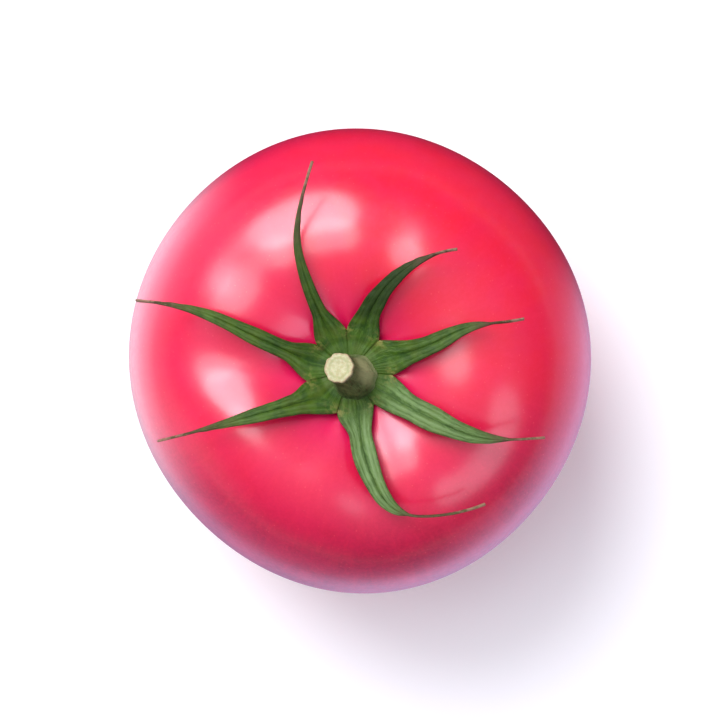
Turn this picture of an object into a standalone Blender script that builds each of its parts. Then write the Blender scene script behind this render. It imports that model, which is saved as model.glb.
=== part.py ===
"""A tomato standing stem up: the fruit, its calyx with seven sepals, and the cut stem.

Metres, +Z up. The origin is on the table, under the middle of the flat spot that the fruit
rests on. Angles are in degrees, anticlockwise from +X seen from above.
"""

import math
from collections import namedtuple

import bmesh
import bpy

MM = 0.001

# Fruit: an upper and a lower dome that meet at the widest ring
FRUIT_RADIUS = 39 * MM
WIDEST_HEIGHT = 32 * MM
TOP_RISE = 28 * MM
TOP_FULLNESS = 2.6
BOTTOM_FULLNESS = 2.3
RESTING_RADIUS = 12 * MM
OUTLINE_WAVES = [(2, 0.007, 122), (3, 0.004, 31), (4, 0.006, 4)]

# Hollow around the stem
CAVITY_X = -1.7 * MM
CAVITY_Y = -1.8 * MM
CAVITY_RADIUS = 14.9 * MM
CAVITY_DEPTH = 9 * MM
CAVITY_STEEPNESS = 2.0

# Lobes and hollows round the shoulders: how many, how high, and where one has its crest
CROWN_WAVES = [
    (2, 0.94 * MM, 61.5),
    (3, 0.52 * MM, 109.1),
    (4, 0.38 * MM, 45.5),
    (5, 0.22 * MM, 0.6),
    (6, 0.09 * MM, 46.5),
    (7, 0.23 * MM, 47.9),
    (8, 0.17 * MM, 29.4),
    (9, 0.12 * MM, 12.7),
    (10, 0.11 * MM, 17.4),
    (11, 0.07 * MM, 30.6),
]
CROWN_OUTWARD = 1.16

# Calyx disc and the stem on it
CLEARANCE = 0.3 * MM
CALYX_RADIUS = 6 * MM
CALYX_THICKNESS = 1.6 * MM
CALYX_LEVEL_SHARE = 0.7
STEM_X = -1.0 * MM
STEM_Y = -2.8 * MM
STEM_LENGTH = 9 * MM
STEM_LEAN = 23
STEM_LEAN_TOWARDS = 148
STEM_RADIUS = 2.5 * MM
STEM_FOOT_RADIUS = 3.4 * MM
STEM_FOOT_SHARES = (0.15, 0.7)
STEM_UPRIGHT_TO_LEAN_SHARE = 0.35

# Sepals: each leaves the calyx's rim at its seat, heads for its bearing, turns by bend along
# its whole length and by hook towards the end of the blade, and ends in a thin thread
SEPAL_THICKNESS = 0.7 * MM
SEPAL_TIP_WIDTH = 0.6 * MM
SEPAL_SPRING = 0.9 * MM
SEPAL_SPRING_SHARE = 0.3
SEPAL_CUP = 0.35 * MM
SEPAL_SPREAD = 1.2
SEAT_SHARE = 0.25
HOOK_START = 0.4
HOOK_PAST_BLADE = 0.1

Sepal = namedtuple("Sepal", "seat bearing length bend hook width blade fullness lift")
SEPALS = [
    Sepal(117, 121, 30.4 * MM, -36, -14, 4.6 * MM, 0.60, 1.0, 2.0 * MM),
    Sepal(72, 76, 22.4 * MM, -68, -2, 4.2 * MM, 0.85, 2.0, 2.5 * MM),
    Sepal(21, 8, 23.9 * MM, 46, -42, 4.1 * MM, 0.75, 2.2, 1.0 * MM),
    Sepal(-32, -32, 28.6 * MM, 18, 19, 4.4 * MM, 0.75, 3.0, 1.5 * MM),
    Sepal(-76, -91, 33.6 * MM, 69, 44, 4.2 * MM, 0.60, 4.5, 0.5 * MM),
    Sepal(-137, -164, 28.0 * MM, -2, 0, 4.3 * MM, 0.75, 1.4, 1.5 * MM),
    Sepal(166, 158, 31.1 * MM, -10, 26, 3.8 * MM, 0.88, 2.0, 1.0 * MM),
]

# How finely the pieces are divided
FRUIT_SEGMENTS = 72
FRUIT_RINGS = 40
CALYX_SEGMENTS = 28
CALYX_RINGS = 10
STEM_POINTS = 9
STEM_BEVEL_RESOLUTION = 6
SEPAL_STATIONS = 30
SEPAL_STRIPS = 4


def clear_scene():
    for obj in list(bpy.data.objects):
        bpy.data.objects.remove(obj, do_unlink=True)


def new_collection(name):
    collection = bpy.data.collections.new(name)
    bpy.context.scene.collection.children.link(collection)
    return collection


def material(name, colour, roughness):
    made = bpy.data.materials.new(name)
    made.use_nodes = True
    shader = made.node_tree.nodes["Principled BSDF"]
    shader.inputs["Base Color"].default_value = (*colour, 1.0)
    shader.inputs["Roughness"].default_value = roughness
    shader.inputs["Metallic"].default_value = 0.0
    return made


def add_mesh_object(name, shape, surface, collection):
    """Turns a bmesh into a smooth-shaded object."""
    mesh = bpy.data.meshes.new(name)
    shape.to_mesh(mesh)
    shape.free()
    mesh.materials.append(surface)
    mesh.shade_smooth()
    obj = bpy.data.objects.new(name, mesh)
    collection.objects.link(obj)
    return obj


def smooth_step(start, end, value):
    share = min(max((value - start) / (end - start), 0.0), 1.0)
    return share * share * (3 - 2 * share)


def outline(turn):
    """How far the widest ring reaches at this turn, as a share of its mean radius."""
    waves = (height * math.cos(count * (turn - math.radians(at))) for count, height, at in OUTLINE_WAVES)
    return 1.0 + sum(waves)


def dome(share, fullness):
    """Height of a full dome of radius 1 and height 1."""
    return max(1.0 - share**fullness, 0.0) ** (1.0 / fullness)


def cavity(x, y):
    away = math.hypot(x - CAVITY_X, y - CAVITY_Y)
    return CAVITY_DEPTH * math.exp(-((away / CAVITY_RADIUS) ** CAVITY_STEEPNESS))


def crown(share, turn):
    """Rise of the lobes, which fade out in the hollow and at the widest ring."""
    rise = 0.0
    for count, height, at in CROWN_WAVES:
        rise += height * math.cos(count * (turn - math.radians(at)))
    return rise * math.sin(math.pi * min(share, 1.0) ** CROWN_OUTWARD) ** 2


def skin_height(x, y, spread=1.0):
    """Height of the fruit's upper skin, or of a wider canopy over it."""
    turn = math.atan2(y, x)
    share = math.hypot(x, y) / (FRUIT_RADIUS * outline(turn))
    top = WIDEST_HEIGHT + TOP_RISE * dome(share / spread, TOP_FULLNESS)
    return top - cavity(x, y) + crown(share, turn)


def lower_skin_height(share):
    """Height of the lower skin, which is cut flat by the table."""
    resting_share = RESTING_RADIUS / FRUIT_RADIUS
    drop = WIDEST_HEIGHT / dome(resting_share, BOTTOM_FULLNESS)
    return WIDEST_HEIGHT - drop * dome(max(share, resting_share), BOTTOM_FULLNESS)


def build_fruit(collection):
    shape = bmesh.new()
    bmesh.ops.create_uvsphere(shape, u_segments=FRUIT_SEGMENTS, v_segments=FRUIT_RINGS, radius=1.0)
    resting_share = RESTING_RADIUS / FRUIT_RADIUS
    last_ring = math.sin(math.pi / FRUIT_RINGS)
    for vert in shape.verts:
        turn = math.atan2(vert.co.y, vert.co.x)
        share = math.hypot(vert.co.x, vert.co.y)
        upper = vert.co.z > 0.0
        if not upper and share > 0.5 * last_ring:
            share = resting_share + (1.0 - resting_share) * (share - last_ring) / (1.0 - last_ring)
        reach = share * FRUIT_RADIUS * outline(turn)
        x = reach * math.cos(turn)
        y = reach * math.sin(turn)
        vert.co = (x, y, skin_height(x, y) if upper else lower_skin_height(share))
    skin = material("tomato skin", (0.72, 0.035, 0.055), 0.25)
    return add_mesh_object("fruit", shape, skin, collection)


def calyx_surface(x, y):
    """Height of the calyx's upper side: level under the stem, thinning to the rim."""
    away = math.hypot(x - CAVITY_X, y - CAVITY_Y)
    rim = smooth_step(CALYX_LEVEL_SHARE, 1.0, away / CALYX_RADIUS)
    level = skin_height(CAVITY_X, CAVITY_Y) + CLEARANCE + CALYX_THICKNESS
    edge = skin_height(x, y) + CLEARANCE + SEPAL_THICKNESS
    return level + (edge - level) * rim


def build_calyx(collection, green):
    shape = bmesh.new()
    bmesh.ops.create_uvsphere(shape, u_segments=CALYX_SEGMENTS, v_segments=CALYX_RINGS, radius=1.0)
    for vert in shape.verts:
        x = CAVITY_X + CALYX_RADIUS * vert.co.x
        y = CAVITY_Y + CALYX_RADIUS * vert.co.y
        under = skin_height(x, y) + CLEARANCE
        over = calyx_surface(x, y)
        on_rim = abs(vert.co.z) < 0.5 / CALYX_RINGS
        height = over if vert.co.z > 0 else under
        vert.co = (x, y, 0.5 * (under + over) if on_rim else height)
    return add_mesh_object("calyx", shape, green, collection)


def build_stem(collection):
    """A tube that starts upright on the calyx, leans over, and narrows from a swollen foot."""
    curve = bpy.data.curves.new("stem", "CURVE")
    curve.dimensions = "3D"
    curve.bevel_depth = STEM_RADIUS
    curve.bevel_resolution = STEM_BEVEL_RESOLUTION
    curve.use_fill_caps = True
    line = curve.splines.new("POLY")
    line.points.add(STEM_POINTS - 1)
    step = STEM_LENGTH / (STEM_POINTS - 1)
    x = STEM_X
    y = STEM_Y
    z = calyx_surface(CAVITY_X, CAVITY_Y) + CLEARANCE
    for index, point in enumerate(line.points):
        along = index / (STEM_POINTS - 1)
        narrowed = smooth_step(*STEM_FOOT_SHARES, along)
        point.co = (x, y, z, 1.0)
        point.radius = 1.0 + (STEM_FOOT_RADIUS / STEM_RADIUS - 1.0) * (1.0 - narrowed)
        lean = math.radians(STEM_LEAN) * smooth_step(0.0, STEM_UPRIGHT_TO_LEAN_SHARE, along)
        x += step * math.sin(lean) * math.cos(math.radians(STEM_LEAN_TOWARDS))
        y += step * math.sin(lean) * math.sin(math.radians(STEM_LEAN_TOWARDS))
        z += step * math.cos(lean)
    curve.materials.append(material("stem", (0.08, 0.12, 0.05), 0.6))
    collection.objects.link(bpy.data.objects.new("stem", curve))


def sepal_route(sepal):
    """Plan-view stations from the calyx's rim to the tip, each as (x, y, facing).

    A station's edge is square to its facing, which is the seat's direction at the rim, so that
    the edge there runs along the rim, and the route's own heading further out.
    """
    rim = CALYX_RADIUS + CLEARANCE
    x = CAVITY_X + rim * math.cos(math.radians(sepal.seat))
    y = CAVITY_Y + rim * math.sin(math.radians(sepal.seat))
    step = sepal.length / SEPAL_STATIONS
    stations = []
    for index in range(SEPAL_STATIONS + 1):
        along = index / SEPAL_STATIONS
        hook = sepal.hook * smooth_step(HOOK_START, sepal.blade + HOOK_PAST_BLADE, along)
        heading = math.radians(sepal.bearing + sepal.bend * along + hook)
        seat = math.radians(sepal.seat)
        facing = seat + (heading - seat) * smooth_step(0.0, SEAT_SHARE, along)
        stations.append((x, y, facing))
        x += step * math.cos(heading)
        y += step * math.sin(heading)
    return stations


def sepal_width(sepal, along):
    blade = 1.0 - min(along / sepal.blade, 1.0) ** sepal.fullness
    return SEPAL_TIP_WIDTH + (sepal.width - SEPAL_TIP_WIDTH) * blade


def sepal_height(sepal, x, y, along, across):
    """Height of a sepal's underside: it lies over the shoulder and stands off further out."""
    spring = SEPAL_SPRING * smooth_step(0.0, SEPAL_SPRING_SHARE, along)
    cup = SEPAL_CUP * across**2 * (1.0 - along)
    return skin_height(x, y, SEPAL_SPREAD) + CLEARANCE + spring + cup + sepal.lift * along**2


def build_sepal(name, sepal, collection, green):
    shape = bmesh.new()
    bmesh.ops.create_grid(shape, x_segments=SEPAL_STATIONS, y_segments=SEPAL_STRIPS, size=1.0)
    stations = sepal_route(sepal)
    for vert in shape.verts:
        along = 0.5 * (vert.co.x + 1.0)
        across = vert.co.y
        x, y, facing = stations[round(along * SEPAL_STATIONS)]
        offset = 0.5 * across * sepal_width(sepal, along)
        x -= offset * math.sin(facing)
        y += offset * math.cos(facing)
        vert.co = (x, y, sepal_height(sepal, x, y, along, across))
    blade = add_mesh_object(name, shape, green, collection)
    thickness = blade.modifiers.new("thickness", "SOLIDIFY")
    thickness.thickness = SEPAL_THICKNESS
    thickness.offset = 1.0
    return blade


def main():
    clear_scene()
    tomato = new_collection("tomato")
    green = material("calyx green", (0.05, 0.16, 0.03), 0.55)
    build_fruit(tomato)
    build_calyx(tomato, green)
    build_stem(tomato)
    for number, sepal in enumerate(SEPALS, start=1):
        build_sepal(f"sepal_{number}", sepal, tomato, green)


main()
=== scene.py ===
"""The looks of the tomato: its skin, calyx, sepals and stem in full detail, on a pale studio floor.

Metres, +Z up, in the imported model's frame. Angles are in degrees, anticlockwise from +X seen
from above. The fruit's shape and the routes of the sepals and stem follow the same rules and
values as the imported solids, with a finer surface.
"""

import math
from collections import namedtuple

import bmesh
import bpy
import numpy as np
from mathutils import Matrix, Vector, noise


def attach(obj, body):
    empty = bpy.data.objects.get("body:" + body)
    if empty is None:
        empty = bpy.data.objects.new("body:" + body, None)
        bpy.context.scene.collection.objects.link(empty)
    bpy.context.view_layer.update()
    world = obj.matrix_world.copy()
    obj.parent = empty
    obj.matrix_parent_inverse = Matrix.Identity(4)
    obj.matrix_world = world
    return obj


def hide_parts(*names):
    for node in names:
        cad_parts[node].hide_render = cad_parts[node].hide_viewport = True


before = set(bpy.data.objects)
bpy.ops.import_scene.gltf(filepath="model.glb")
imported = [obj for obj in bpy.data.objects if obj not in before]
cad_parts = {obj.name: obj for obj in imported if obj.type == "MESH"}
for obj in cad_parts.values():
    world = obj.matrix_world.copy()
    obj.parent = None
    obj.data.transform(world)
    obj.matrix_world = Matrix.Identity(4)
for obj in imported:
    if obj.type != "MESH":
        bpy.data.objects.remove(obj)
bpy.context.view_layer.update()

MM = 0.001
BODY = "root"

# Fruit
FRUIT_RADIUS = 39 * MM
WIDEST_HEIGHT = 32 * MM
TOP_RISE = 28 * MM
TOP_FULLNESS = 2.6
BOTTOM_FULLNESS = 2.3
RESTING_RADIUS = 12 * MM
OUTLINE_WAVES = [(2, 0.007, 122), (3, 0.004, 31), (4, 0.006, 4)]
CAVITY_X = -1.7 * MM
CAVITY_Y = -1.8 * MM
CAVITY_RADIUS = 14.9 * MM
CAVITY_DEPTH = 9 * MM
CAVITY_STEEPNESS = 2.0
CROWN_WAVES = [
    (2, 0.94 * MM, 61.5),
    (3, 0.52 * MM, 109.1),
    (4, 0.38 * MM, 45.5),
    (5, 0.22 * MM, 0.6),
    (6, 0.09 * MM, 46.5),
    (7, 0.23 * MM, 47.9),
    (8, 0.17 * MM, 29.4),
    (9, 0.12 * MM, 12.7),
    (10, 0.11 * MM, 17.4),
    (11, 0.07 * MM, 30.6),
]
CROWN_OUTWARD = 1.16
SKIN_RELIEF = 0.12 * MM
SKIN_RELIEF_SIZE = 13 * MM
FOLD_COUNT = 11
FOLD_DEPTH = 0.16 * MM
FOLD_DISTANCE = 7.5 * MM
FOLD_WIDTH = 3.5 * MM
UNDERSIDE_DENT = 0.7 * MM
UNDERSIDE_DENT_RADIUS = 9.5 * MM
SCAR_RADIUS = 1.7 * MM
# Turn at which the painted shade on the skin's lower flank is strongest.
PAINTED_SHADE_SIDE = 268
WARM_SIDE = 48

# Calyx and stem
CLEARANCE = 0.3 * MM
CALYX_RADIUS = 6 * MM
CALYX_THICKNESS = 1.6 * MM
CALYX_LEVEL_SHARE = 0.7
CALYX_DISC_RADIUS = 6.3 * MM
CALYX_DISC_MARGIN = 0.15 * MM
STEM_X = -1.0 * MM
STEM_Y = -2.8 * MM
STEM_LENGTH = 9 * MM
STEM_LEAN = 23
STEM_LEAN_TOWARDS = 148
STEM_RADIUS = 2.5 * MM
STEM_FOOT_RADIUS = 3.4 * MM
STEM_FOOT_SHARES = (0.15, 0.7)
STEM_UPRIGHT_TO_LEAN_SHARE = 0.35
STEM_FLARE = 0.45 * MM
STEM_FLARE_SHARE = 0.16
STEM_RIDGE = 0.07 * MM
STEM_KNOBBLE = 0.035
# Side of the stem where its painted light patch lies.
STEM_PAINTED_LIGHT_SIDE = 232
CUT_GRIT = 0.07 * MM
CUT_SHARES = np.array((0.975, 0.93, 0.85, 0.75, 0.65, 0.55, 0.45, 0.35, 0.25, 0.15, 0.07))
CUT_RISES = MM * np.array((0.10, 0.13, 0.10, 0.06, 0.02, 0.0, -0.03, -0.06, -0.09, -0.11, -0.12))

# Sepals
SEPAL_THICKNESS = 0.7 * MM
SEPAL_SPRING = 0.9 * MM
SEPAL_SPRING_SHARE = 0.3
SEPAL_SPREAD = 1.2
SEAT_SHARE = 0.25
HOOK_START = 0.4
HOOK_PAST_BLADE = 0.1
BLADE_THICKNESS = 0.45 * MM
TAIL_WIDTH = 0.40 * MM
INNER_RADIUS = 1.8 * MM
FLARE_LENGTH = 4.8 * MM
SEAT_RISE = 0.25 * MM
EDGE_CUP = 0.40 * MM
EDGE_WAVE = 0.10 * MM
JOINT_CREASE = 0.14 * MM
MIDRIB_DEPTH = 0.22 * MM
VEIN_HEIGHT = 0.08 * MM

# Seat, bearing, bend, hook and roll are angles; blade and taper are shares of the length at which
# the hook is complete and the blade has narrowed to a thread; pale is painted light: above 0 a
# painted sheen on sepals facing the lamps, below 0 painted shade on sepals turned away from them.
Sepal = namedtuple("Sepal", "seat bearing length bend hook blade lift width taper fullness roll pale")
SEPALS = [
    Sepal(117, 121, 30.4 * MM, -36, -14, 0.60, 2.0 * MM, 3.6 * MM, 0.90, 0.68, 40, -0.3),
    Sepal(72, 76, 22.4 * MM, -68, -2, 0.85, 2.5 * MM, 3.9 * MM, 0.85, 1.6, -45, -0.7),
    Sepal(21, 8, 23.9 * MM, 46, -42, 0.75, 1.0 * MM, 4.0 * MM, 0.78, 2.0, -30, -0.25),
    Sepal(-32, -32, 28.6 * MM, 18, 19, 0.75, 1.5 * MM, 4.6 * MM, 0.80, 2.4, 15, 0.8),
    Sepal(-76, -91, 33.6 * MM, 69, 44, 0.60, 0.5 * MM, 4.0 * MM, 0.62, 3.8, 20, 1.0),
    Sepal(-137, -164, 28.0 * MM, -2, 0, 0.75, 1.5 * MM, 3.9 * MM, 0.80, 1.3, -25, 0.1),
    Sepal(166, 158, 31.1 * MM, -10, 26, 0.88, 1.0 * MM, 3.4 * MM, 0.90, 1.7, 30, -0.05),
]

FRUIT_SEGMENTS = 288
FRUIT_RINGS = 176
SEPAL_STATIONS = 110
SEPAL_COLUMNS = 16
STEM_STATIONS = 48
STEM_SIDES = 96

# Studio: azimuth, elevation, strength, angular size and tint of each lamp
LAMPS = {
    "key": (121.5, 46.6, 2.6, 43, (0.97, 0.97, 1.03)),
    "overhead": (147, 69, 1.0, 36, (1.0, 1.0, 1.0)),
    "fill": (-38, 46, 0.42, 30, (0.75, 0.90, 1.0)),
}
FLOOR_RADIUS = 6.0
FLOOR_GLOW = 0.13
SEEN_ACROSS = 122 * MM
CAMERA_LENS = 300.0
CAMERA_SENSOR = 36.0


# ---------------------------------------------------------------- shape rules


def smooth_step(start, end, value):
    share = np.clip((value - start) / (end - start), 0.0, 1.0)
    return share * share * (3.0 - 2.0 * share)


def outline(turn):
    """How far the widest ring reaches at this turn, as a share of its mean radius."""
    reach = 1.0
    for count, height, at in OUTLINE_WAVES:
        reach = reach + height * np.cos(count * (turn - math.radians(at)))
    return reach


def dome(share, fullness):
    return np.maximum(1.0 - share**fullness, 0.0) ** (1.0 / fullness)


def cavity(x, y):
    away = np.hypot(x - CAVITY_X, y - CAVITY_Y)
    return CAVITY_DEPTH * np.exp(-((away / CAVITY_RADIUS) ** CAVITY_STEEPNESS))


def crown(share, turn):
    """The broad lobes and hollows round the shoulders."""
    rise = 0.0
    for count, height, at in CROWN_WAVES:
        rise = rise + height * np.cos(count * (turn - math.radians(at)))
    return rise * np.sin(math.pi * np.minimum(share, 1.0) ** CROWN_OUTWARD) ** 2


def skin_height(x, y, spread=1.0):
    """Height of the fruit's upper skin, or of a wider canopy over it."""
    turn = np.arctan2(y, x)
    share = np.hypot(x, y) / (FRUIT_RADIUS * outline(turn))
    top = WIDEST_HEIGHT + TOP_RISE * dome(share / spread, TOP_FULLNESS)
    return top - cavity(x, y) + crown(share, turn)


def lower_skin_height(share):
    resting_share = RESTING_RADIUS / FRUIT_RADIUS
    drop = WIDEST_HEIGHT / dome(resting_share, BOTTOM_FULLNESS)
    return WIDEST_HEIGHT - drop * dome(np.maximum(share, resting_share), BOTTOM_FULLNESS)


def calyx_surface(x, y):
    away = np.hypot(x - CAVITY_X, y - CAVITY_Y)
    rim = smooth_step(CALYX_LEVEL_SHARE, 1.0, away / CALYX_RADIUS)
    level = skin_height(CAVITY_X, CAVITY_Y) + CLEARANCE + CALYX_THICKNESS
    edge = skin_height(x, y) + CLEARANCE + SEPAL_THICKNESS
    return level + (edge - level) * rim


# ---------------------------------------------------------------- mesh helpers


def points_of(mesh):
    points = np.empty(len(mesh.vertices) * 3, np.float32)
    mesh.vertices.foreach_get("co", points)
    return points.reshape(-1, 3).astype(float)


def set_points(mesh, points):
    mesh.vertices.foreach_set("co", points.astype(np.float32).ravel())
    mesh.update()


def store(mesh, name, values):
    """A number for each vertex that the materials can read by its name."""
    made = mesh.attributes.new(name, "FLOAT", "POINT")
    made.data.foreach_set("value", np.asarray(values, np.float32).ravel())


def bumps(points, size, seed):
    """Smooth seeded noise, about -1 to 1, for each point."""
    shift = Vector((seed * 7.3, seed * 3.1, seed * 5.7))
    return np.array([noise.noise(Vector(p) / size + shift) for p in points])


def add_object(name, mesh):
    mesh.shade_smooth()
    obj = bpy.data.objects.new(name, mesh)
    bpy.context.scene.collection.objects.link(obj)
    return obj


def grid_mesh(name, points, wrap=False, caps=()):
    """A mesh over a grid of points (stations, columns, 3); wrap joins the last column to the
    first, and caps close the first or last station with a fan to the given point."""
    stations, columns, _ = points.shape
    vertices = points.reshape(-1, 3).tolist()
    across = columns if wrap else columns - 1
    faces = []
    for i in range(stations - 1):
        for j in range(across):
            k = (j + 1) % columns
            faces.append((i * columns + j, i * columns + k, (i + 1) * columns + k, (i + 1) * columns + j))
    for station, centre in caps:
        hub = len(vertices)
        vertices.append(list(centre))
        start = (station % stations) * columns
        for j in range(columns):
            k = (j + 1) % columns
            fan = (hub, start + k, start + j) if station == 0 else (hub, start + j, start + k)
            faces.append(fan)
    mesh = bpy.data.meshes.new(name)
    mesh.from_pydata(vertices, [], faces)
    return mesh


# ---------------------------------------------------------------- material helpers


class Nodes:
    """Short calls for building a node tree."""

    def __init__(self, tree, coordinates):
        self.tree = tree
        self.place = self.new("ShaderNodeTexCoord").outputs[coordinates]

    def new(self, kind, **settings):
        node = self.tree.nodes.new(kind)
        for key, value in settings.items():
            setattr(node, key, value)
        return node

    def feed(self, socket, value):
        if isinstance(value, bpy.types.NodeSocket):
            self.tree.links.new(value, socket)
        else:
            socket.default_value = value

    def noise(self, size, detail=3.0, rough=0.5, at=None):
        """Noise of about this size in metres."""
        node = self.new("ShaderNodeTexNoise")
        self.feed(node.inputs["Vector"], at or self.place)
        node.inputs["Scale"].default_value = 1.0 / size
        node.inputs["Detail"].default_value = detail
        node.inputs["Roughness"].default_value = rough
        node.inputs["Distortion"].default_value = 0.0
        return node.outputs["Fac"]

    def cells(self, size):
        """Distance to the nearest of many scattered points, in cell sizes."""
        node = self.new("ShaderNodeTexVoronoi")
        self.feed(node.inputs["Vector"], self.place)
        node.inputs["Scale"].default_value = 1.0 / size
        return node.outputs["Distance"]

    def math(self, operation, a, b=0.0, c=0.0):
        node = self.new("ShaderNodeMath", operation=operation)
        for socket, value in zip(node.inputs, (a, b, c)):
            self.feed(socket, value)
        return node.outputs[0]

    def both(self, a, b):
        return self.math("MULTIPLY", a, b)

    def span(self, value, low, high, to_low=0.0, to_high=1.0):
        """A smooth change from one number to another as the value goes from low to high."""
        node = self.new("ShaderNodeMapRange", interpolation_type="SMOOTHSTEP")
        for name, number in (
            ("Value", value),
            ("From Min", low),
            ("From Max", high),
            ("To Min", to_low),
            ("To Max", to_high),
        ):
            self.feed(node.inputs[name], number)
        return node.outputs["Result"]

    def mix(self, share, a, b):
        node = self.new("ShaderNodeMix", data_type="RGBA")
        self.feed(node.inputs[0], share)
        self.feed(node.inputs[6], a)
        self.feed(node.inputs[7], b)
        return node.outputs[2]

    def stored(self, name):
        return self.new("ShaderNodeAttribute", attribute_name=name).outputs["Fac"]

    def stretched(self, x, y, z):
        node = self.new("ShaderNodeVectorMath", operation="MULTIPLY")
        self.feed(node.inputs[0], self.place)
        node.inputs[1].default_value = (x, y, z)
        return node.outputs[0]

    def vector(self, x, y, z):
        node = self.new("ShaderNodeCombineXYZ")
        for socket, value in zip(node.inputs, (x, y, z)):
            self.feed(socket, value)
        return node.outputs[0]

    def bump(self, height, distance, strength=1.0, below=None):
        node = self.new("ShaderNodeBump")
        node.inputs["Strength"].default_value = strength
        node.inputs["Distance"].default_value = distance
        self.feed(node.inputs["Height"], height)
        if below is not None:
            self.feed(node.inputs["Normal"], below)
        return node.outputs["Normal"]


class Finish(Nodes):
    """One material: colours laid over each other, ending in its single Principled shader."""

    def __init__(self, name, colour):
        self.material = bpy.data.materials.new(name)
        self.material.use_nodes = True
        super().__init__(self.material.node_tree, "Object")
        self.shader = self.tree.nodes["Principled BSDF"]
        self.colour = colour

    def layer(self, mask, strength, colour):
        """Lays a colour over those below, as strongly as the mask says."""
        share = mask if strength == 1.0 else self.both(mask, strength)
        self.colour = self.mix(share, self.colour, colour)

    def finish(self, roughness, normal=None, **numbers):
        self.feed(self.shader.inputs["Base Color"], self.colour)
        self.feed(self.shader.inputs["Roughness"], roughness)
        if normal is not None:
            self.feed(self.shader.inputs["Normal"], normal)
        for name, number in numbers.items():
            self.shader.inputs[name.replace("_", " ")].default_value = number
        return self.material


def rgb(red, green, blue):
    return (red, green, blue, 1.0)


# ---------------------------------------------------------------- materials


def skin_material():
    """Glossy crimson skin: warmer towards one side, with painted shade (a deeper, darker crimson) low on
    the flank facing away from the key lamp, and fine dots.
    """
    n = Finish("tomato_skin", rgb(0.80, 0.004, 0.056))
    place = n.new("ShaderNodeSeparateXYZ")
    n.feed(place.inputs[0], n.place)
    height = place.outputs["Z"]
    n.layer(n.span(height, 36 * MM, 55 * MM, 1.0, 0.0), 1.0, rgb(0.64, 0.003, 0.088))
    n.layer(n.stored("warm"), 0.85, rgb(0.82, 0.004, 0.028))
    # Painted shade: deeper, darker crimson on the lower flank facing away from the key lamp, stored as
    # deep.
    n.layer(n.stored("deep"), 0.92, rgb(0.36, 0.002, 0.046))
    broad = n.span(n.noise(20 * MM, 2.0), 0.35, 0.65)
    n.layer(broad, 0.35, rgb(0.82, 0.006, 0.046))
    cloud = n.span(n.noise(5 * MM, 4.0), 0.35, 0.68)
    n.layer(cloud, 0.30, rgb(0.74, 0.006, 0.082))
    grain = n.span(n.noise(0.55 * MM, 3.0, 0.6), 0.36, 0.66)
    n.layer(grain, 0.22, rgb(0.86, 0.014, 0.078))
    streak_place = n.vector(n.stored("turn"), n.stored("reach"), 0.0)
    streaks = n.span(n.noise(0.028, 3.0, 0.6, at=streak_place), 0.45, 0.70)
    n.layer(streaks, 0.16, rgb(0.88, 0.020, 0.070))
    dots = n.span(n.cells(0.95 * MM), 0.06, 0.17, 1.0, 0.0)
    few = n.span(n.noise(2.4 * MM, 1.0), 0.42, 0.60)
    n.layer(n.both(dots, few), 0.34, rgb(0.95, 0.12, 0.12))
    n.layer(n.stored("hollow"), 0.7, rgb(0.80, 0.008, 0.105))
    n.layer(n.stored("scar"), 1.0, rgb(0.30, 0.15, 0.07))
    underneath = n.span(height, 18 * MM, 31 * MM, 1.0, 0.0)
    n.feed(n.shader.inputs["Coat Weight"], n.span(underneath, 0.0, 1.0, 0.85, 0.25))
    roughness = n.span(n.noise(1.2 * MM, 3.0), 0.3, 0.7, 0.285, 0.34)
    fine = n.bump(n.noise(0.35 * MM, 2.0), 0.003 * MM, 0.5)
    normal = n.bump(n.noise(3.5 * MM, 2.0), 0.03 * MM, 0.5, below=fine)
    return n.finish(
        roughness,
        normal,
        IOR=1.52,
        Coat_Roughness=0.22,
        Subsurface_Weight=0.12,
        Subsurface_Radius=(1.0, 0.25, 0.15),
        Subsurface_Scale=2.0 * MM,
    )


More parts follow.
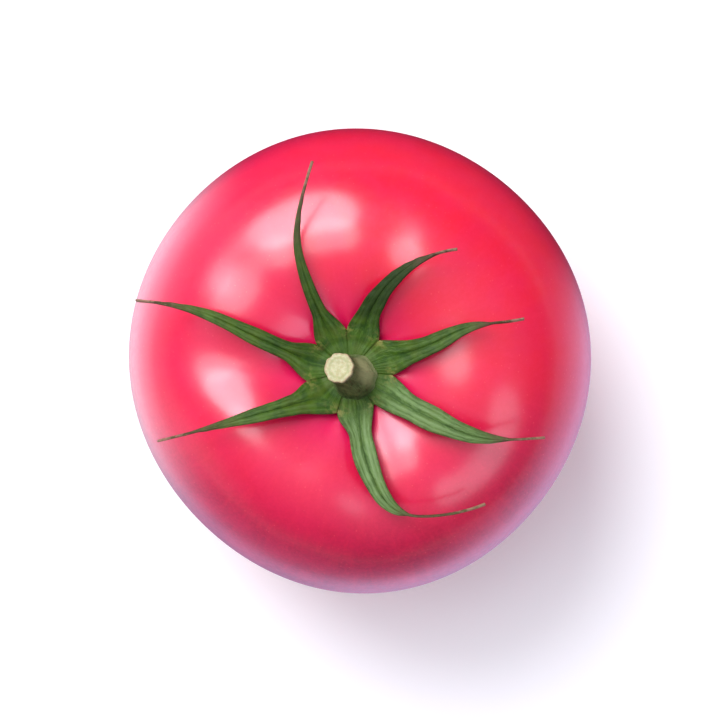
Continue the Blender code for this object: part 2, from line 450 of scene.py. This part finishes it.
def sepal_material():
    """Matt green with fibres along each blade, paler veins, ragged dark edges and a dry tail, with a
    painted sheen on some sepals and painted shade on others.
    """
    n = Finish("sepal_green", rgb(0.018, 0.060, 0.002))
    along = n.stored("along")
    across = n.stored("across")
    pale = n.stored("pale")
    blotch = n.span(n.noise(1.8 * MM, 4.0), 0.34, 0.68)
    n.layer(blotch, 1.0, rgb(0.056, 0.122, 0.006))
    warm = n.span(n.noise(3.2 * MM, 3.0), 0.42, 0.70)
    n.layer(warm, 0.5, rgb(0.085, 0.120, 0.006))
    fibre_place = n.vector(n.both(along, 3.0), across, n.stored("which"))
    fibre = n.span(n.noise(0.16, 4.0, 0.65, at=fibre_place), 0.40, 0.66)
    n.layer(fibre, 0.40, rgb(0.095, 0.190, 0.022))
    # Painted sheen: sepals with pale above 0 get a lighter, greyer green, as where they face the lamps.
    painted_sheen = n.both(pale, n.span(fibre, 0.0, 1.0, 0.35, 0.85))
    n.layer(painted_sheen, 1.0, rgb(0.145, 0.245, 0.072))
    # The veins show more strongly on sepals with the painted sheen.
    vein = n.both(n.stored("vein"), n.span(pale, 0.0, 1.0, 0.25, 0.75))
    n.layer(vein, 1.0, rgb(0.245, 0.365, 0.150))
    n.layer(n.stored("groove"), 0.55, rgb(0.014, 0.050, 0.008))
    edge = n.span(n.math("ABSOLUTE", across), 0.74, 1.0)
    ragged = n.span(n.noise(0.9 * MM, 3.0), 0.40, 0.62)
    n.layer(n.both(edge, ragged), 0.6, rgb(0.050, 0.050, 0.014))
    # Painted shade: pale below 0 darkens sepals turned away from the lamps, from a third of the way out.
    painted_shade = n.both(n.span(pale, -1.0, 0.0, 1.0, 0.0), n.span(along, 0.0, 0.3))
    n.layer(painted_shade, 1.0, rgb(0.010, 0.026, 0.004))
    thread = n.both(n.stored("thread"), n.span(ragged, 0.0, 1.0, 0.60, 1.0))
    n.layer(thread, 1.0, rgb(0.110, 0.062, 0.034))
    dry = n.span(n.math("ADD", along, n.both(ragged, 0.10)), 0.86, 1.04)
    n.layer(dry, 0.85, rgb(0.38, 0.22, 0.14))
    spots = n.span(n.noise(0.7 * MM, 2.0), 0.45, 0.62)
    n.layer(n.both(n.stored("notch"), spots), 0.7, rgb(0.30, 0.26, 0.07))
    roughness = n.span(blotch, 0.0, 1.0, 0.60, 0.44)
    grain = n.bump(n.noise(0.22 * MM, 3.0, 0.7), 0.05 * MM, 0.8)
    normal = n.bump(fibre, 0.08 * MM, 0.7, below=grain)
    return n.finish(roughness, normal, IOR=1.36)


def stem_material():
    """Olive bark with fibres up the stem, a painted light patch low on one side and brown at the cut's
    lip.
    """
    n = Finish("stem_side", rgb(0.040, 0.058, 0.012))
    blotch = n.span(n.noise(1.5 * MM, 4.0), 0.35, 0.66)
    n.layer(blotch, 1.0, rgb(0.110, 0.145, 0.042))
    along = n.stored("along")
    fibre_place = n.vector(n.stored("side"), n.both(along, 0.12), 0.0)
    fibre = n.span(n.noise(0.035, 4.0, 0.65, at=fibre_place), 0.40, 0.64)
    n.layer(fibre, 0.5, rgb(0.140, 0.195, 0.070))
    # Painted light: a lighter, yellower patch low on the side of the stem that catches the light.
    n.layer(n.stored("lit"), 0.9, rgb(0.420, 0.430, 0.200))
    n.layer(n.span(along, 0.90, 1.0), 0.65, rgb(0.40, 0.34, 0.20))
    specks = n.span(n.cells(0.5 * MM), 0.05, 0.22, 1.0, 0.0)
    n.layer(specks, 0.25, rgb(0.22, 0.25, 0.12))
    grain = n.bump(n.noise(0.25 * MM, 3.0, 0.7), 0.09 * MM, 0.9)
    normal = n.bump(fibre, 0.12 * MM, 0.7, below=grain)
    return n.finish(0.62, normal, IOR=1.38)


def cut_material():
    """Cream pith with a faint green ring, brown flecks and a brown rind."""
    n = Finish("stem_cut", rgb(0.46, 0.43, 0.23))
    unevenness = n.both(n.math("SUBTRACT", n.noise(0.8 * MM, 3.0), 0.5), 0.22)
    wobble = n.math("ADD", n.stored("ring"), unevenness)
    n.layer(n.span(n.noise(0.5 * MM, 4.0), 0.36, 0.66), 1.0, rgb(0.56, 0.53, 0.32))
    band = n.both(n.span(wobble, 0.52, 0.64), n.span(wobble, 0.70, 0.80, 1.0, 0.0))
    n.layer(band, 0.45, rgb(0.32, 0.34, 0.14))
    n.layer(n.span(wobble, 0.86, 1.0), 0.75, rgb(0.36, 0.24, 0.14))
    specks = n.span(n.cells(0.42 * MM), 0.08, 0.24, 1.0, 0.0)
    n.layer(specks, 0.40, rgb(0.42, 0.24, 0.16))
    normal = n.bump(n.noise(0.3 * MM, 3.0, 0.7), 0.12 * MM, 0.9)
    return n.finish(0.7, normal, IOR=1.4, Subsurface_Weight=0.1, Subsurface_Scale=1.0 * MM)


# ---------------------------------------------------------------- fruit


def build_fruit():
    shape = bmesh.new()
    bmesh.ops.create_uvsphere(shape, u_segments=FRUIT_SEGMENTS, v_segments=FRUIT_RINGS, radius=1.0)
    mesh = bpy.data.meshes.new("tomato_fruit")
    shape.to_mesh(mesh)
    shape.free()
    unit = points_of(mesh)
    turn = np.arctan2(unit[:, 1], unit[:, 0])
    share = np.hypot(unit[:, 0], unit[:, 1])
    upper = unit[:, 2] > 1e-6
    reach = share * FRUIT_RADIUS * outline(turn)
    x = reach * np.cos(turn)
    y = reach * np.sin(turn)
    z = np.where(upper, skin_height(x, y), lower_skin_height(share))
    away = np.hypot(x - CAVITY_X, y - CAVITY_Y)
    soft = bumps(np.column_stack((x, y, z)), SKIN_RELIEF_SIZE, 1.0)
    shoulder = smooth_step(0.15, 0.6, share) * (1.0 - smooth_step(0.85, 1.0, share))
    z += np.where(upper, SKIN_RELIEF * soft * shoulder, 0.0)
    folds = np.cos(FOLD_COUNT * turn + 1.5 * np.sin(3 * turn))
    in_cavity = np.exp(-(((away - FOLD_DISTANCE) / FOLD_WIDTH) ** 2))
    z += np.where(upper, FOLD_DEPTH * folds * in_cavity, 0.0)
    dent = 1.0 - smooth_step(2.0 * MM, UNDERSIDE_DENT_RADIUS, reach)
    z += np.where(upper, 0.0, UNDERSIDE_DENT * dent)
    set_points(mesh, np.column_stack((x, y, z)))
    ragged = 1.0 + 0.35 * np.cos(5 * turn + 0.7)
    scar = np.where(upper, 0.0, 1.0 - smooth_step(0.9 * MM, SCAR_RADIUS, reach / ragged))
    store(mesh, "scar", scar)
    store(mesh, "hollow", np.where(upper, 1.0 - smooth_step(8 * MM, 17 * MM, away), 0.0))
    # Painted shade: the deep share marks the lower flank facing away from the key lamp.
    sunless = smooth_step(-0.1, 0.8, np.cos(turn - math.radians(PAINTED_SHADE_SIDE)))
    flank = (1.0 - smooth_step(48 * MM, 59 * MM, z)) * smooth_step(8 * MM, 24 * MM, z)
    store(mesh, "deep", sunless * flank)
    store(mesh, "warm", smooth_step(-0.1, 0.9, np.cos(turn - math.radians(WARM_SIDE))))
    store(mesh, "turn", np.degrees(np.arccos(np.cos(turn))) / 90.0)
    store(mesh, "reach", reach / FRUIT_RADIUS * 0.25)
    mesh.materials.append(skin_material())
    fruit = add_object("tomato_fruit", mesh)
    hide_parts("fruit")
    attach(fruit, BODY)


# ---------------------------------------------------------------- calyx and sepals


def bisector(one, other):
    """Angle halfway between two seats, in radians."""
    gap = (other - one + 180.0) % 360.0 - 180.0
    return math.radians(one + 0.5 * gap)


def unwrapped(angle, near):
    """The same angle, within half a turn of another."""
    return near + (angle - near + math.pi) % (2.0 * math.pi) - math.pi


def sepal_stations(sepal):
    """Distance from the rim, place and facing of each station; distances before the rim are negative."""
    rim = CALYX_RADIUS + CLEARANCE
    inside = np.linspace(INNER_RADIUS - rim, 0.0, SEPAL_STATIONS // 6, endpoint=False)
    outside = np.linspace(0.0, sepal.length, SEPAL_STATIONS - len(inside))
    seat = math.radians(sepal.seat)
    along = outside / sepal.length
    hook = sepal.hook * smooth_step(HOOK_START, sepal.blade + HOOK_PAST_BLADE, along)
    heading = np.radians(sepal.bearing + sepal.bend * along + hook)
    middle = 0.5 * (heading[1:] + heading[:-1])
    step = outside[1] - outside[0]
    x = CAVITY_X + rim * math.cos(seat) + np.concatenate(([0.0], np.cumsum(step * np.cos(middle))))
    y = CAVITY_Y + rim * math.sin(seat) + np.concatenate(([0.0], np.cumsum(step * np.sin(middle))))
    facing = seat + (heading - seat) * smooth_step(0.0, SEAT_SHARE, along)
    inner_x = CAVITY_X + (rim + inside) * math.cos(seat)
    inner_y = CAVITY_Y + (rim + inside) * math.sin(seat)
    distance = np.concatenate((inside, outside))
    return (
        distance,
        np.concatenate((inner_x, x)),
        np.concatenate((inner_y, y)),
        np.concatenate((np.full(len(inside), seat), facing)),
    )


def build_sepal(index, material):
    sepal = SEPALS[index]
    before = SEPALS[(index + 1) % len(SEPALS)].seat
    after = SEPALS[index - 1].seat
    distance, centre_x, centre_y, facing = sepal_stations(sepal)
    across = np.linspace(-1.0, 1.0, SEPAL_COLUMNS + 1)
    along = np.clip(distance / sepal.length, 0.0, 1.0)[:, None]
    seat = math.radians(sepal.seat)
    right_gap = seat - unwrapped(bisector(sepal.seat, before), seat)
    left_gap = unwrapped(bisector(sepal.seat, after), seat) - seat
    rim = CALYX_RADIUS + CLEARANCE

    blade = 1.0 - np.minimum(along / sepal.taper, 1.0) ** sepal.fullness
    width = TAIL_WIDTH + (sepal.width - TAIL_WIDTH) * blade
    width *= 1.0 + 0.05 * np.sin(23.0 * along + index * 2.1) * blade
    flare = 1.0 - smooth_step(0.0, FLARE_LENGTH, distance)[:, None]
    inner = np.minimum(rim + distance, rim)[:, None]
    share = smooth_step(-1.0 * MM, 4.0 * MM, distance)[:, None]

    def reach(gap):
        """Half the sepal's width on one side: up to its neighbour, then narrowing to the blade."""
        to_neighbour = inner * math.tan(gap)
        open_half = 0.5 * width + (rim * math.tan(gap) - 0.5 * width) * flare
        return np.where(distance[:, None] < 0.0, to_neighbour, open_half)

    half = np.where(across[None, :] < 0.0, reach(right_gap), reach(left_gap)) * across[None, :]
    roll = math.radians(sepal.roll) * smooth_step(0.15, 1.0, along)
    roll = roll + math.radians(12.0) * np.sin(9.0 * along + index) * along
    offset = half * np.cos(roll)
    x = centre_x[:, None] - offset * np.sin(facing)[:, None]
    y = centre_y[:, None] + offset * np.cos(facing)[:, None]

    spring = SEPAL_SPRING * smooth_step(0.0, SEPAL_SPRING_SHARE, along)
    height = skin_height(x, y, SEPAL_SPREAD) + CLEARANCE + SEPAL_THICKNESS + spring + sepal.lift * along**2
    seated = calyx_surface(x, y) + SEAT_RISE
    z = seated + (height - seated) * smooth_step(-1.5 * MM, 3.0 * MM, distance)[:, None]
    z = z + half * np.sin(roll) * share
    fold = np.abs(across)[None, :]
    narrow = np.clip(width / sepal.width, 0.0, 1.0)
    cup = EDGE_CUP * fold**1.6 * narrow * share
    crease = -JOINT_CREASE * fold**4 * (1.0 - share)
    groove = np.exp(-((across[None, :] / 0.11) ** 2))
    vein = np.exp(-(((fold - 0.42) / 0.09) ** 2)) + 0.6 * np.exp(-(((fold - 0.76) / 0.07) ** 2))
    relief = 0.25 + 0.75 * share
    z = z + cup + crease + narrow * relief * (VEIN_HEIGHT * vein - MIDRIB_DEPTH * groove)
    wave = np.sin(60.0 * along + 3.0 * across[None, :] + index * 1.7)
    z = z + EDGE_WAVE * wave * fold * narrow * share

    mesh = grid_mesh(f"sepal_{index + 1}_blade", np.stack((x, y, z), axis=2))
    columns = len(across)
    full = np.ones((len(distance), columns))
    store(mesh, "along", full * along)
    store(mesh, "across", full * across[None, :])
    store(mesh, "which", full * (index * 1.37))
    store(mesh, "vein", full * np.clip(vein, 0.0, 1.0) * narrow * relief)
    store(mesh, "groove", full * groove * np.clip(narrow * 1.5, 0.0, 1.0) * relief)
    # pale carries painted light: a painted sheen above 0, painted shade below 0.
    store(mesh, "pale", full * sepal.pale * share)
    store(mesh, "thread", full * (1.0 - smooth_step(0.0, 0.5, blade)))
    near_notch = np.exp(-(((distance[:, None] - 0.2 * MM) / (0.9 * MM)) ** 2))
    store(mesh, "notch", full * near_notch * fold**2)
    mesh.materials.append(material)
    made = add_object(f"sepal_{index + 1}_blade", mesh)
    thin = made.vertex_groups.new(name="thickness")
    amounts = full * (1.0 - 0.55 * fold**2)
    for vertex, amount in enumerate(amounts.ravel()):
        thin.add([vertex], float(amount), "REPLACE")
    solid = made.modifiers.new("thickness", "SOLIDIFY")
    solid.thickness = BLADE_THICKNESS
    solid.offset = -1.0
    solid.vertex_group = "thickness"
    solid.thickness_vertex_group = 0.3
    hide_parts(f"sepal_{index + 1}")
    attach(made, BODY)


def build_calyx(material):
    """The disc under the sepals' feet, seen only in the notches between them."""
    shape = bmesh.new()
    bmesh.ops.create_uvsphere(shape, u_segments=96, v_segments=24, radius=1.0)
    mesh = bpy.data.meshes.new("calyx_disc")
    shape.to_mesh(mesh)
    shape.free()
    unit = points_of(mesh)
    x = CAVITY_X + CALYX_DISC_RADIUS * unit[:, 0]
    y = CAVITY_Y + CALYX_DISC_RADIUS * unit[:, 1]
    under = skin_height(x, y) + CALYX_DISC_MARGIN
    over = calyx_surface(x, y) - CALYX_DISC_MARGIN
    level = 0.5 + 0.5 * np.sign(unit[:, 2]) * np.abs(unit[:, 2]) ** 0.6
    set_points(mesh, np.column_stack((x, y, under + (over - under) * level)))
    store(mesh, "which", np.full(len(unit), 9.0))
    store(mesh, "notch", smooth_step(0.8, 1.0, np.hypot(unit[:, 0], unit[:, 1])))
    for name in ("along", "across", "vein", "groove", "pale", "thread"):
        store(mesh, name, np.zeros(len(unit)))
    mesh.materials.append(material)
    disc = add_object("calyx_disc", mesh)
    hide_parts("calyx")
    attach(disc, BODY)


# ---------------------------------------------------------------- stem


def stem_route():
    """Points and directions up the stem, from its foot to the cut."""
    along = np.linspace(0.0, 1.0, STEM_STATIONS)
    lean = math.radians(STEM_LEAN) * smooth_step(0.0, STEM_UPRIGHT_TO_LEAN_SHARE, along)
    towards = math.radians(STEM_LEAN_TOWARDS)
    direction = np.column_stack(
        (np.sin(lean) * math.cos(towards), np.sin(lean) * math.sin(towards), np.cos(lean))
    )
    step = STEM_LENGTH / (STEM_STATIONS - 1)
    foot = np.array((STEM_X, STEM_Y, calyx_surface(CAVITY_X, CAVITY_Y) + CLEARANCE))
    middle = 0.5 * (direction[1:] + direction[:-1])
    route = foot + np.vstack(((0.0, 0.0, 0.0), np.cumsum(step * middle, axis=0)))
    return along, route, direction


def build_stem():
    along, route, direction = stem_route()
    turns = np.linspace(0.0, 2.0 * math.pi, STEM_SIDES, endpoint=False)
    towards = math.radians(STEM_LEAN_TOWARDS)
    side = np.array((-math.sin(towards), math.cos(towards), 0.0))
    narrowed = smooth_step(*STEM_FOOT_SHARES, along)
    radius = STEM_RADIUS + (STEM_FOOT_RADIUS - STEM_RADIUS) * (1.0 - narrowed)
    radius = radius + STEM_FLARE * (1.0 - smooth_step(0.0, STEM_FLARE_SHARE, along))
    ridge = np.cos(8 * turns + 0.8 * np.sin(2 * turns)) + 0.5 * np.cos(13 * turns + 1.0)
    rows = []
    for i in range(STEM_STATIONS):
        forward = direction[i]
        front = np.cross(side, forward)
        outward = np.cos(turns)[:, None] * front + np.sin(turns)[:, None] * side
        rows.append(route[i] + (radius[i] + STEM_RIDGE * ridge)[:, None] * outward)
    points = np.array(rows)
    rough = bumps(points.reshape(-1, 3), 1.6 * MM, 4.0).reshape(points.shape[:2])
    points += (points - route[:, None, :]) * STEM_KNOBBLE * rough[:, :, None]

    end = direction[-1]
    cut = []
    for share, rise in zip(CUT_SHARES, CUT_RISES):
        ring = route[-1] + (points[STEM_STATIONS - 1] - route[-1]) * share
        cut.append(ring + end * rise)
    cut = np.array(cut)
    grit = bumps(cut.reshape(-1, 3), 0.7 * MM, 6.0).reshape(cut.shape[:2])
    cut += end * (CUT_GRIT * grit)[:, :, None]
    everything = np.concatenate((points, cut))
    top = route[-1] + end * CUT_RISES[-1]
    mesh = grid_mesh("stem_stub", everything, wrap=True, caps=((0, route[0]), (-1, top)))
    stations = len(everything)
    whole = np.ones((stations, STEM_SIDES))
    up = np.concatenate((along, np.ones(len(cut))))
    store(mesh, "along", np.append(whole * up[:, None], (0.0, 1.0)))
    side_share = np.abs(turns - math.pi) / math.pi
    store(mesh, "side", np.append(whole * side_share[None, :], (0.0, 0.0)))
    # Painted light: the lit share marks a patch low on one side of the stem.
    painted_light_side = smooth_step(0.35, 1.0, np.cos(turns - math.radians(STEM_PAINTED_LIGHT_SIDE)))
    low = 1.0 - smooth_step(0.4, 1.0, up)
    store(mesh, "lit", np.append(whole * low[:, None] * painted_light_side[None, :], (0.0, 0.0)))
    inward = np.concatenate((np.ones(len(along)), CUT_SHARES))
    store(mesh, "ring", np.append(whole * inward[:, None], (1.0, 0.0)))
    mesh.materials.append(stem_material())
    mesh.materials.append(cut_material())
    first_cut = (STEM_STATIONS - 1) * STEM_SIDES
    for face in mesh.polygons:
        lowest = min(face.vertices)
        foot_cap = stations * STEM_SIDES in face.vertices
        face.material_index = 1 if lowest >= first_cut and not foot_cap else 0
    stem = add_object("stem_stub", mesh)
    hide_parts("stem")
    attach(stem, BODY)


# ---------------------------------------------------------------- studio


def add_sun(name, azimuth, elevation, strength, size, tint):
    """A soft far lamp that shines from this direction."""
    lamp = bpy.data.lights.new(name, "SUN")
    lamp.energy = strength
    lamp.angle = math.radians(size)
    lamp.color = tint
    obj = bpy.data.objects.new(name, lamp)
    a = math.radians(azimuth)
    e = math.radians(elevation)
    source = Vector((math.cos(a) * math.cos(e), math.sin(a) * math.cos(e), math.sin(e)))
    obj.rotation_euler = source.to_track_quat("Z", "Y").to_euler()
    bpy.context.scene.collection.objects.link(obj)


def build_world():
    """A dim cool room with a pale ceiling and a white horizon. The floor hides what is below the
    horizon from all but the skin's reflections: pale violet surroundings, brighter to the left,
    and deep red towards the upper right, where other fruit would stand."""
    world = bpy.data.worlds.new("studio")
    bpy.context.scene.world = world
    world.use_nodes = True
    n = Nodes(world.node_tree, "Generated")
    split = n.new("ShaderNodeSeparateXYZ")
    n.feed(split.inputs[0], n.place)
    z = split.outputs["Z"]
    level = n.new("ShaderNodeVectorMath", operation="NORMALIZE")
    n.feed(level.inputs[0], n.stretched(1.0, 1.0, 0.0))

    def facing(azimuth, low, high):
        """How nearly a direction points this way: 0 at the low cosine, 1 at the high one."""
        dot = n.new("ShaderNodeVectorMath", operation="DOT_PRODUCT")
        n.feed(dot.inputs[0], level.outputs[0])
        a = math.radians(azimuth)
        dot.inputs[1].default_value = (math.cos(a), math.sin(a), 0.0)
        return n.span(dot.outputs["Value"], low, high)

    ceiling = n.mix(n.span(z, 0.25, 1.0), rgb(0.10, 0.10, 0.115), rgb(0.54, 0.54, 0.66))
    wall = n.both(facing(176, 0.45, 1.0), n.span(z, 0.1, 0.6, 1.0, 0.0))
    ceiling = n.mix(wall, ceiling, rgb(0.80, 0.80, 0.86))
    near = n.span(z, -0.38, -0.06)
    darker = n.math("MULTIPLY_ADD", facing(342, 0.6, 1.0), -0.35, 0.85)
    below = n.mix(n.both(near, darker), rgb(1.02, 0.82, 1.32), rgb(0.16, 0.06, 0.12))
    below = n.mix(n.both(facing(228, 0.72, 1.0), 0.45), below, rgb(0.45, 0.20, 0.40))
    left = n.mix(n.both(near, 0.55), rgb(1.66, 1.66, 1.90), rgb(0.30, 0.24, 0.30))
    below = n.mix(facing(166, 0.45, 1.0), below, left)
    dim = n.both(n.span(z, -0.70, -0.40), facing(262, 0.45, 0.95))
    below = n.mix(n.both(dim, 0.6), below, rgb(0.10, 0.03, 0.10))
    below = n.mix(facing(76, 0.30, 0.72), below, rgb(0.09, 0.0, 0.02))
    below = n.mix(n.span(z, -1.0, -0.76, 0.50, 0.0), below, rgb(0.10, 0.04, 0.08))
    room = n.mix(n.span(z, -0.02, 0.0), below, ceiling)
    horizon = n.both(n.span(z, -0.024, -0.016), n.span(z, 0.008, 0.018, 1.0, 0.0))
    room = n.mix(horizon, room, rgb(1.1, 1.1, 1.1))
    n.feed(world.node_tree.nodes["Background"].inputs["Color"], room)


def build_floor():
    """White and faintly glowing. The skin doesn't mirror it: the world below the horizon stands
    in for it there."""
    bpy.ops.mesh.primitive_circle_add(vertices=96, radius=FLOOR_RADIUS, fill_type="NGON")
    floor = bpy.context.object
    floor.name = "studio_floor"
    n = Finish("pale_floor", rgb(0.92, 0.92, 0.925))
    n.layer(n.noise(0.3, 2.0), 1.0, rgb(0.94, 0.94, 0.945))
    glow = {"Emission_Color": rgb(1.0, 1.0, 1.0), "Emission_Strength": FLOOR_GLOW}
    floor.data.materials.append(n.finish(0.85, **glow))
    floor.visible_glossy = False


def build_camera():
    """Looks straight down, with +Y up in the image."""
    lens = bpy.data.cameras.new("camera")
    lens.lens = CAMERA_LENS
    lens.sensor_width = CAMERA_SENSOR
    lens.clip_start = 0.05
    lens.clip_end = 20.0
    camera = bpy.data.objects.new("camera", lens)
    distance = SEEN_ACROSS * CAMERA_LENS / CAMERA_SENSOR
    camera.location = (0.0, 0.0, WIDEST_HEIGHT + distance)
    bpy.context.scene.collection.objects.link(camera)
    bpy.context.scene.camera = camera


def main():
    bpy.context.scene.view_settings.view_transform = "Standard"
    build_fruit()
    green = sepal_material()
    build_calyx(green)
    for index in range(len(SEPALS)):
        build_sepal(index, green)
    build_stem()
    build_floor()
    build_world()
    for name, lamp in LAMPS.items():
        add_sun(name, *lamp)
    build_camera()


main()
